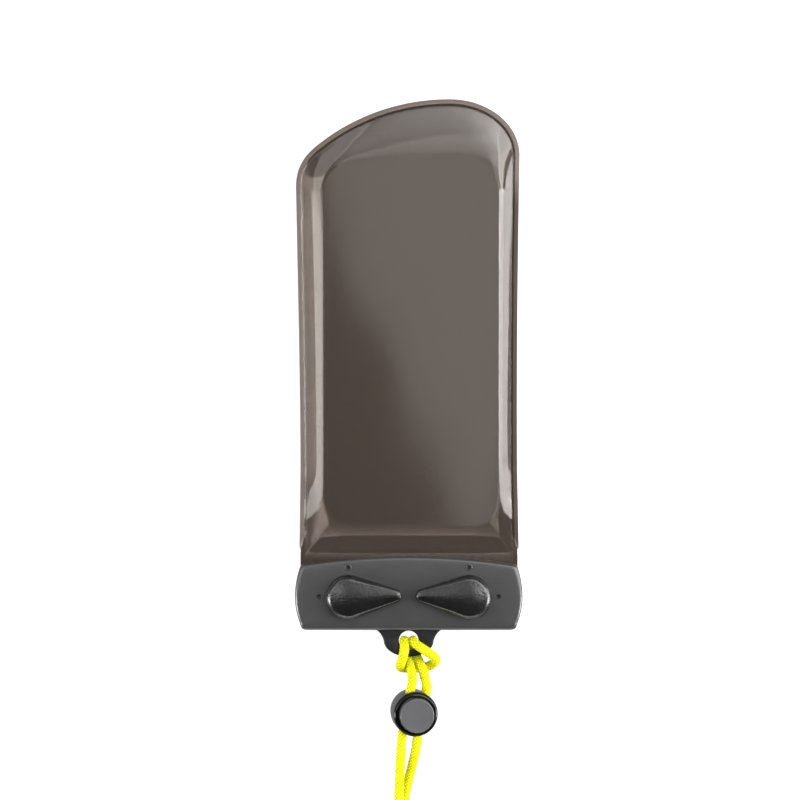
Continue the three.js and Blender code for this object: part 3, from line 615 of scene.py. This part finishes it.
hole_line = [(6, tab_bottom - 1), *rounded(hole_lip, [0.55, 0.55]), (6, tab_top + 1)]
combine(tab, "DIFFERENCE", turned("tab_hole", hole_line, 64, TAB_HOLE_AT))
pegs = [cylinder((side * PEG_AT[0], PEG_AT[1]), PEG_RADIUS, 3, PEG_TOP) for side in (-1, 1)]
combine(back_jaw, "UNION", land, tab, block(RIB_AT, RIB_SIZE, 5.5, 6.8), *pegs)
for side in (-1, 1):
    pivot = (side * PIVOT_X, PIVOT_Y)
    combine(
        back_jaw, "DIFFERENCE",
        cylinder(pivot, POCKET_RADIUS, BELOW, POCKET_TOP), cylinder(pivot, POST_HOLE, BELOW, 10),
        block(pivot, (2 * PIN_ARM, PIN_ROOM), BELOW, 10), ramp(side, 0), ramp(side, np.pi),
    )

# Front jaw of the clip
# The same nylon in a paler grey, polished a little more: a plate with a slight crown and rounded
# edges. It has a moulded ring over each lever, and a dimple and a raised tick beside each, which
# show the closed position.
RING_Y = -84.7
DIMPLE_X = 39.85
TICK_X = 37.6
FRONT_CUT = 7  # level of a cutter's end below the front jaw
FRONT_CLEAR = 15  # and above it
front_rim = [(13, 8.9), (0, 8.9), (0, 13.15), (3, 13.3), (8, 13.42), (13, 13.45)]
front_jaw = slab(
    "front_jaw_moulding", jaw_outline, rounded(front_rim, [1.2, 1.7, 0.9, 1.5]), JAW_MIDDLE, JAW_SIZE / 2,
)
combine(front_jaw, "UNION", block(RIB_AT, RIB_SIZE, 8.5, 9.8))
ring_line = rounded([(0.02, 12), (1.5, 12), (1.5, 13.75), (0.02, 13.75)], [0.1, 0.35])
dimple_line = [(0.02, 11.2), (0.9, 11.2), (0.9, 13.1), (1.25, 13.48), (1.25, 15), (0.02, 15)]
for side in (-1, 1):
    pivot = (side * PIVOT_X, PIVOT_Y)
    ring_at = (side * PIVOT_X, RING_Y)
    ring = turned("ring", ring_line, 40, ring_at)
    tick = block((side * TICK_X, PIVOT_Y - 0.7), (2.5, 0.5), 12.5, 13.58)
    combine(front_jaw, "UNION", ring, tick)
    combine(
        front_jaw, "DIFFERENCE",
        cylinder(ring_at, 0.85, 11.2, FRONT_CLEAR), cylinder(pivot, POST_HOLE, FRONT_CUT, FRONT_CLEAR),
        cylinder((side * PEG_AT[0], PEG_AT[1]), PEG_RADIUS + 0.3, FRONT_CUT, PEG_TOP + 0.3),
        turned("dimple", dimple_line, 40, (side * DIMPLE_X, PIVOT_Y)),
    )


def moulded(name, colour, dark, roughness, grain, depth, shine=0.5):
    """Moulded plastic: spark-eroded grain of a size in mm as bump and as a faint change of shade."""
    made, tree = new_material(name)
    place = node(tree, "TexCoord").outputs["Object"]
    fine = node(
        tree, "TexNoise", {"Scale": 1 / (grain * MM), "Detail": 3.0, "Roughness": 0.6}, {"Vector": place},
    )
    wide = node(tree, "TexNoise", {"Scale": 55.0, "Detail": 2.0}, {"Vector": place})
    mix = node(tree, "Math", {"operation": "MULTIPLY"}, {0: fine.outputs["Fac"], 1: wide.outputs["Fac"]})
    shade = node(tree, "MapRange", {"From Min": 0.1, "From Max": 0.4}, {"Value": mix.outputs[0]})
    tone = node(
        tree, "Mix", {"data_type": "RGBA", 6: srgb(dark), 7: srgb(colour)}, {0: shade.outputs[0]},
    )
    bump = node(tree, "Bump", {"Strength": 0.9, "Distance": depth * MM}, {"Height": fine.outputs["Fac"]})
    skin = node(
        tree, "BsdfPrincipled", {"Roughness": roughness, "IOR": 1.5, "Specular IOR Level": shine},
        {"Base Color": tone.outputs[2], "Normal": bump.outputs[0]},
    )
    node(tree, "OutputMaterial", links={"Surface": skin.outputs[0]})
    return made


# Painted shade: dark_nylon is a darker copy of the front jaw's grey nylon, for the low tab
dark_nylon = moulded("dark_nylon", "141416", "101012", 0.4, 0.5, 0.02, 0.35)
grey_nylon = moulded("grey_nylon", "333334", "2B2B2C", 0.28, 0.6, 0.012, 0.75)
place_piece(back_jaw, dark_nylon, "pouch", "back_jaw_plastic", "back_jaw")
place_piece(front_jaw, grey_nylon, "front_jaw", "front_jaw_plastic", "front_jaw")

# Levers
# Two quarter-turn levers of glass-filled nylon, near black, with a coarse spark-eroded grain. Each
# is a teardrop pebble on a round post that goes down through both jaws to its cam pin.
LEVER_RADIUS = 9.9
LEVER_TIP_RADIUS = 2.9
LEVER_REACH = 21
LEVER_BOTTOM = 13.6
LEVER_TOP = 20.1
LEVER_CANT = 2.2
FINGER_GAP = 1.4
POST_RADIUS = 3
POST_BOTTOM = 0.65


def lever(name, side):
    """A teardrop: two arcs joined by their tangents, shrunk towards its axis ring by ring. The rings
    rise up a steep wall, over an elliptical shoulder and to a low crown, which falls to the tip."""
    tangent = np.arccos((LEVER_RADIUS - LEVER_TIP_RADIUS) / LEVER_REACH)
    wide = np.linspace(tangent, 2 * np.pi - tangent, 140)
    tip = np.linspace(-tangent, tangent, 60)
    flank = np.linspace(0, 1, 40)[1:-1]
    run = np.concatenate([0 * wide, flank, np.full_like(tip, 1), 1 - flank])
    centre = LEVER_REACH * run
    size = LEVER_RADIUS + (LEVER_TIP_RADIUS - LEVER_RADIUS) * centre / LEVER_REACH
    angle = np.concatenate([wide, np.full_like(flank, -tangent), tip, np.full_like(flank, tangent)])
    across = np.column_stack([np.cos(angle), np.sin(angle)]) * size[:, None]
    spine = np.column_stack([centre, np.zeros(len(centre))])
    shoulder = np.linspace(0, np.pi / 2, 12)
    steps = [(share, 0.0) for share in (0.05, 0.3, 0.6, 0.9)]
    steps += [(0.97, 0.0), (1.0, 0.06), (1.0, 0.2), (1.0, 0.38)]
    steps += [(1 - 0.3 * (1 - np.cos(a)), 0.38 + 0.52 * np.sin(a)) for a in shoulder[1:]]
    crown = (0.6, 0.48, 0.36, 0.24, 0.12, 0.02)
    steps += [(share, 0.9 + 0.1 * (1 - (share / 0.7) ** 2)) for share in crown]
    share, rise = np.array(steps).T
    plan = spine + share[:, None, None] * across
    out = plan[..., 0]
    bottom = LEVER_BOTTOM + FINGER_GAP * smoothstep(out, 9, 14)
    top = LEVER_TOP - 0.9 * smoothstep(out, 2, 24)
    height = bottom + (top - bottom) * rise[:, None]
    turn = np.radians(LEVER_CANT if side < 0 else 180 - LEVER_CANT)
    x = side * PIVOT_X + plan[..., 0] * np.cos(turn) - plan[..., 1] * np.sin(turn)
    y = PIVOT_Y + plan[..., 0] * np.sin(turn) + plan[..., 1] * np.cos(turn)
    made = grid_mesh(name, np.dstack([x, y, height]))
    pivot = (side * PIVOT_X, PIVOT_Y)
    combine(made, "UNION", cylinder(pivot, POST_RADIUS, POST_BOTTOM, 17))
    combine(made, "DIFFERENCE", block(pivot, (2.5, 12), POST_BOTTOM + 0.25, POCKET_TOP))
    return made


lever_plastic = moulded("black_grained_nylon", "0D0D0E", "050506", 0.24, 1.1, 0.13, 0.75)
for side, body in ((-1, "lever_left"), (1, "lever_right")):
    place_piece(lever(body + "_moulding", side), lever_plastic, body, "lever_plastic", body)

# Cord lock
# A polished black barrel with a satin grey button in its bore, held up by a spring. Both strands
# pass through two holes in the barrel's wall and slots in the button. It lies tilted on the cord.
LOCK_AT = (1, -149.6, 1.5205)
LOCK_TILT = 9
LOCK_HEADING = -10.6
LOCK_RADIUS = 10
LOCK_HEIGHT = 15
LOCK_BORE = 7.9
LOCK_FLOOR = 1.2
BUTTON_RADIUS = 7.6
BUTTON_FROM = 5.9
BUTTON_TO = 18.5
CORD_APART = 3.5
CORD_HOLE = 2.5
CORD_LEVEL = 9.5  # of the cord's holes, with the button out
SPRING_WIRE = 0.4
SPRING_RADIUS = 5
SPRING_TURNS = 4
SPRING_GAP = 0.05
PRESS = 2.5
lock_place = (
    Matrix.Translation(Vector(LOCK_AT) * MM)
    @ Matrix.Rotation(np.radians(LOCK_HEADING), 4, "Z") @ Matrix.Rotation(np.radians(LOCK_TILT), 4, "Y")
)
sideways_hole = Matrix.Rotation(np.radians(90), 4, "X")


def unit(vectors):
    """Vectors scaled to length 1."""
    return vectors / np.linalg.norm(vectors, axis=-1, keepdims=True)


def path_frames(route, guide):
    """Two directions across a route: the guide made square to it, and the one square to both. They
    are turned back by the sum of their twist from point to point, so the tube doesn't twist."""
    along = unit(np.gradient(route, axis=0))
    across = unit(guide - np.sum(guide * along, axis=1, keepdims=True) * along)
    up = np.cross(along, across)
    twist = np.sum(np.diff(across, axis=0) * up[:-1], axis=1)
    turn = -np.concatenate([[0], np.cumsum(twist)])[:, None]
    return (
        np.cos(turn) * across + np.sin(turn) * up,
        np.cos(turn) * up - np.sin(turn) * across,
    )


def wire(name, route, radius, guide, sides=16):
    """A round tube along a route."""
    across, up = path_frames(route, guide)
    angle = 2 * np.pi * np.arange(sides)[:, None] / sides
    ring = np.cos(angle) * across[:, None] + np.sin(angle) * up[:, None]
    return grid_mesh(name, route[:, None] + radius * ring)


def cord_hole(x, height):
    """A cutter for one strand, along the lock's own Y axis."""
    cutter = cylinder((x, height), CORD_HOLE, -14, 14)
    cutter.data.transform(sideways_hole)
    return cutter


barrel_line = [
    (0.03, LOCK_FLOOR), (LOCK_BORE, LOCK_FLOOR), (LOCK_BORE, LOCK_HEIGHT), (LOCK_RADIUS, LOCK_HEIGHT),
    (LOCK_RADIUS, 4), (9.4, 0), (0.03, 0),
]
lock_body = turned("lock_barrel", rounded(barrel_line, [0.4, 0.35, 1.7, 2, 0.7], 9), 128)
combine(lock_body, "DIFFERENCE", *(cord_hole(side * CORD_APART, CORD_LEVEL) for side in (-1, 1)))
button_line = [
    (0.03, BUTTON_FROM), (BUTTON_RADIUS, BUTTON_FROM), (BUTTON_RADIUS, BUTTON_TO),
    (BUTTON_RADIUS - 1.3, BUTTON_TO - 0.12), (0.03, BUTTON_TO - 0.3),
]
lock_button = turned("lock_button_moulding", rounded(button_line, [0.7, 0.6, 0.6], 9), 128)
for side in (-1, 1):
    x = side * CORD_APART
    combine(
        lock_button, "DIFFERENCE", cord_hole(x, CORD_LEVEL), cord_hole(x, CORD_LEVEL + PRESS),
        block((x, 0), (2 * CORD_HOLE, 28), CORD_LEVEL, CORD_LEVEL + PRESS),
    )
for part in (lock_body, lock_button):
    part.data.transform(lock_place)

polish, tree = new_material("polished_black_acetal")
place = node(tree, "TexCoord").outputs["Object"]
wear = node(tree, "TexNoise", {"Scale": 400.0, "Detail": 3.0}, {"Vector": place})
rough = node(tree, "MapRange", {"To Min": 0.1, "To Max": 0.2}, {"Value": wear.outputs["Fac"]})
skin = node(
    tree, "BsdfPrincipled", {"Base Color": srgb("070708"), "Specular IOR Level": 0.22},
    {"Roughness": rough.outputs[0]},
)
node(tree, "OutputMaterial", links={"Surface": skin.outputs[0]})
place_piece(lock_body, polish, "pouch", "lock_plastic", "lock_body")
place_piece(
    lock_button, moulded("satin_grey_acetal", "505052", "48484A", 0.3, 0.35, 0.008),
    "lock_button", "button_plastic", "lock_button",
)

# Spring and cam pins: drawn and ground stainless steel wire. The spring's end turns lie flat
steel, tree = new_material("stainless_steel_wire")
place = node(tree, "TexCoord").outputs["Object"]
drawn = node(tree, "TexNoise", {"Scale": 2500.0, "Detail": 2.0}, {"Vector": place})
rough = node(tree, "MapRange", {"To Min": 0.18, "To Max": 0.38}, {"Value": drawn.outputs["Fac"]})
skin = node(
    tree, "BsdfPrincipled", {"Base Color": srgb("C6C8CA"), "Metallic": 1.0},
    {"Roughness": rough.outputs[0]},
)
node(tree, "OutputMaterial", links={"Surface": skin.outputs[0]})
turn = np.linspace(0, 2 * np.pi * SPRING_TURNS, 240)
climb = smoothstep(turn, np.pi, turn[-1] - np.pi)
low, high = LOCK_FLOOR + SPRING_WIRE + SPRING_GAP, BUTTON_FROM - SPRING_WIRE - SPRING_GAP
coil = np.column_stack([
    SPRING_RADIUS * np.cos(turn), SPRING_RADIUS * np.sin(turn), low + (high - low) * climb,
])
spring = wire("spring_wire", coil, SPRING_WIRE, np.column_stack([coil[:, :2], 0 * turn]))
spring.data.transform(lock_place)
place_piece(spring, steel, "pouch", "steel", "lock_spring")
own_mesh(spring)
for name in ("cam_pin_left", "cam_pin_right"):
    bpy.data.objects[name].data.materials.clear()
    bpy.data.objects[name].data.materials.append(steel)

# Lanyard cord
# Braided polyester cord, 4.3 mm thick, dyed fluorescent yellow: 16 bundles of yarn, eight wound
# each way, over and under each other. It is one loop of about a metre, hitched to the tab, through
# the cord lock, and joined at its ends by a knot; what the photograph cuts off lies in a coil.
CORD_DIAMETER = 4.3
CORE_RADIUS = 1.9
YARN_RELIEF = 0.3
YARNS = 8
YARN_STEP = 1.7  # along the cord, from one yarn to the next
CORD_SIDES = 40
CORD_SPACING = 0.36  # between rings of points

TAB_LEFT_LEG = [
    [1.7, -134.6, 9.75], [1.2, -131, 7.5], [0.3, -128.4, 5.5], [-0.7, -125.4, 3.6], [-1.5, -121.9, 3.5],
    [-1.9, -118.95, 4.65], [-1.9, -117.9, 7.2], [-1.9, -118.95, 9.75], [-1.9, -121.5, 10.8],
    [-2.8, -125.6, 10.6], [-3.6, -128.4, 8.3], [-3.6, -130.2, 4.8], [-1.4, -130.9, 2.5],
    [2.2, -130.8, 2.3],
]
TAB_RIGHT_LEG = [
    [5.4, -130.8, 2.3], [8.6, -130.2, 2.35], [11.2, -128.6, 3.9], [12.2, -126.6, 6.7],
    [11.3, -124.9, 9.4], [8.6, -122.9, 10.8], [4.9, -120.4, 10.8], [2.4, -118.7, 9.75],
    [1.9, -117.9, 7.2], [1.9, -118.95, 4.65], [2.5, -121.9, 3.5], [3.6, -125.4, 3.6], [5, -128.4, 5.5],
    [6.3, -131, 7.4], [7.25, -134.6, 9.3],
]
LEFT_STRAND = [
    [1.7, -134.6, 9.75], [1.5, -136.6, 10.8], [0.9, -139.4, 11.4], [-0.94, -149.24, 11.45],
    [-2.78, -159.07, 11.45], [-3.4, -165, 10.4], [-3.7, -172, 8.3], [-4.1, -180, 7], [-4.4, -189, 6.8],
    [-4.4, -200, 6.8], [-4.4, -210.7, 6.8],
]
RIGHT_STRAND = [
    [7.25, -134.6, 9.3], [7.95, -137.6, 10.2], [7.7, -140.68, 10.36], [5.86, -150.51, 10.36],
    [4.02, -160.34, 10.36], [3.2, -166.4, 8.6], [2, -172.5, 5.6], [0.4, -179, 3.3], [-1.5, -188, 2.35],
    [-3.4, -197, 2.2], [-4.4, -205, 2.2], [-4.4, -210.7, 2.2],
]
COIL_AT = (23.55, -227)
COIL_START = 27.95  # radius where the strands run into the coil, at its left
COIL_TURNS = 2.7
KNOT_AT = (19.03, -217.3, 4.3)
LEFT_LEVEL = 6.8  # of the left strand in the coil, where it lies on the right one
RIGHT_LEVEL = 2.2  # of the right strand, on the table


def smooth_route(points, spacing):
    """Evenly spaced points on one smooth curve: between two route points it is the cubic that keeps
    the slopes there, which come from the parabola through each point and its two neighbours."""
    points = np.asarray(points, float)
    knots = np.concatenate([[0], np.cumsum(np.linalg.norm(np.diff(points, axis=0), axis=1) ** 0.5)])
    slopes = np.gradient(points, knots, axis=0, edge_order=2)
    place = np.linspace(0, knots[-1], 60 * len(points))
    low = np.clip(np.searchsorted(knots, place, side="right") - 1, 0, len(points) - 2)
    step = (knots[low + 1] - knots[low])[:, None]
    u = (place - knots[low])[:, None] / step
    curve = (
        (2 * u**3 - 3 * u**2 + 1) * points[low]
        + (u**3 - 2 * u**2 + u) * step * slopes[low]
        + (3 * u**2 - 2 * u**3) * points[low + 1]
        + (u**3 - u**2) * step * slopes[low + 1]
    )
    run = np.concatenate([[0], np.cumsum(np.linalg.norm(np.diff(curve, axis=0), axis=1))])
    even = np.linspace(0, run[-1], int(run[-1] / spacing) + 1)
    return np.column_stack([np.interp(even, run, curve[:, axis]) for axis in range(3)])


def braided(name, route, guide):
    """Braided cord round a route. Two families of helices cross on it, u to one hand and v to the
    other; each cell of their net is a pillow, drawn out along the yarn that lies on top there, and
    the two yarns take turns from cell to cell."""
    across, up = path_frames(route, guide)
    run = np.concatenate([[0], np.cumsum(np.linalg.norm(np.diff(route, axis=0), axis=1))])[:, None]
    angle = 2 * np.pi * np.arange(CORD_SIDES + 1) / CORD_SIDES
    u = YARNS * angle / (2 * np.pi) + run / YARN_STEP
    v = YARNS * angle / (2 * np.pi) - run / YARN_STEP
    top = (np.floor(u) + np.floor(v)) % 2
    bump_u, bump_v = np.sin(np.pi * (u % 1)), np.sin(np.pi * (v % 1))
    pillow = np.where(top == 1, bump_u * bump_v**0.4, bump_v * bump_u**0.4)[:, :-1]
    radius = (CORE_RADIUS + YARN_RELIEF * pillow)[..., None]
    angle = angle[:-1, None]
    rings = (
        route[:, None]
        + radius * np.cos(angle) * across[:, None]
        + radius * np.sin(angle) * up[:, None]
    )
    return grid_mesh(name, rings, np.stack(np.broadcast_arrays(u, v), -1), {"pillow": pillow})


def coiled(strand, level):
    """A strand's route, a flat spiral that shrinks by one cord a turn, and the way into the knot."""
    angle = np.pi + np.linspace(0, 2 * np.pi * COIL_TURNS, int(16 * COIL_TURNS))
    radius = COIL_START - CORD_DIAMETER * (angle - np.pi) / (2 * np.pi)
    spiral = np.column_stack([
        COIL_AT[0] + radius * np.cos(angle),
        COIL_AT[1] + radius * np.sin(angle),
        np.full(len(angle), level),
    ])
    x, y, middle = KNOT_AT
    into_knot = [[x + 5, y + 6.2, level], [x + 1.2, y + 3.6, (level + middle) / 2], [x, y, middle]]
    return smooth_route([*strand, *spiral, *into_knot], CORD_SPACING)


# Dyed polyester yarn, fluorescent yellow. Its glow is painted light: a faint green emission, the same
# under any lamp, which greens the cord most where it lies in shade
yarn, tree = new_material("fluorescent_polyester_braid")
pillow = node(tree, "Attribute", {"attribute_name": "pillow"}).outputs["Fac"]
# Painted shade: the gaps between the yarns are painted dark olive green, the tops of the pillows yellow
depth = node(tree, "MapRange", {"From Min": 0.12, "From Max": 0.85}, {"Value": pillow})
tone = node(
    tree, "Mix", {"data_type": "RGBA", 6: srgb("8A9A00"), 7: srgb("EDDB04")}, {0: depth.outputs[0]},
)
skin = node(
    tree, "BsdfPrincipled",
    {
        "Roughness": 0.7, "Specular IOR Level": 0.2,
        "Sheen Weight": 0.08, "Sheen Roughness": 0.4, "Sheen Tint": srgb("FFF77A"),
        "Emission Color": srgb("9CFF00"), "Emission Strength": 0.05,
    },
    {"Base Color": tone.outputs[2]},
)
node(tree, "OutputMaterial", links={"Surface": skin.outputs[0]})

hitch_route = smooth_route(TAB_LEFT_LEG + TAB_RIGHT_LEG, CORD_SPACING)
share = np.linspace(0, 1, len(hitch_route))[:, None]
sideways = np.where(abs(share - 0.5) < 0.1, [[0.0, -1.0, 0.0]], [[1.0, 0.0, 0.0]])
hitch = braided("hitch", hitch_route, sideways)
place_piece(hitch, yarn, "pouch", "cord", "lanyard_hitch")

left_route = coiled(LEFT_STRAND, LEFT_LEVEL)
right_route = coiled(RIGHT_STRAND, RIGHT_LEVEL)
upward = np.array([[0.0, 0.0, 1.0]])
left_strand = braided("left_strand", left_route, upward)
right_strand = braided("right_strand", right_route, upward)
place_piece(left_strand, yarn, "pouch", "cord", "lanyard_left_strand", "lanyard_coil")
place_piece(right_strand, yarn, "pouch", "cord", "lanyard_right_strand")

# The knot: both ends are tied together in an overhand knot, and stick out of it for a centimetre
share = np.linspace(0, 2 * np.pi, 140)[:, None]
reach = 3.6 + 1.7 * np.cos(3 * share)
overhand = np.array(KNOT_AT) + np.hstack([
    reach * np.cos(2 * share), reach * np.sin(2 * share), 2.1 * np.sin(3 * share),
])
knot = braided("overhand_knot", overhand, upward)
x, y, z = KNOT_AT
tails = []
for side in (-1, 1):
    tail_points = [
        [x, y + 1.5 * side, z], [x + 3, y - 2 + 2.4 * side, 3.6], [x + 7.5, y - 5 + 3 * side, 2.3],
        [x + 12.5, y - 9 + 4 * side, RIGHT_LEVEL],
    ]
    tails.append(braided("cord_end", smooth_route(tail_points, CORD_SPACING), upward))
place_piece(knot, yarn, "pouch", "cord", "lanyard_knot")
for tail in tails:
    place_piece(tail, yarn, "pouch", "cord")
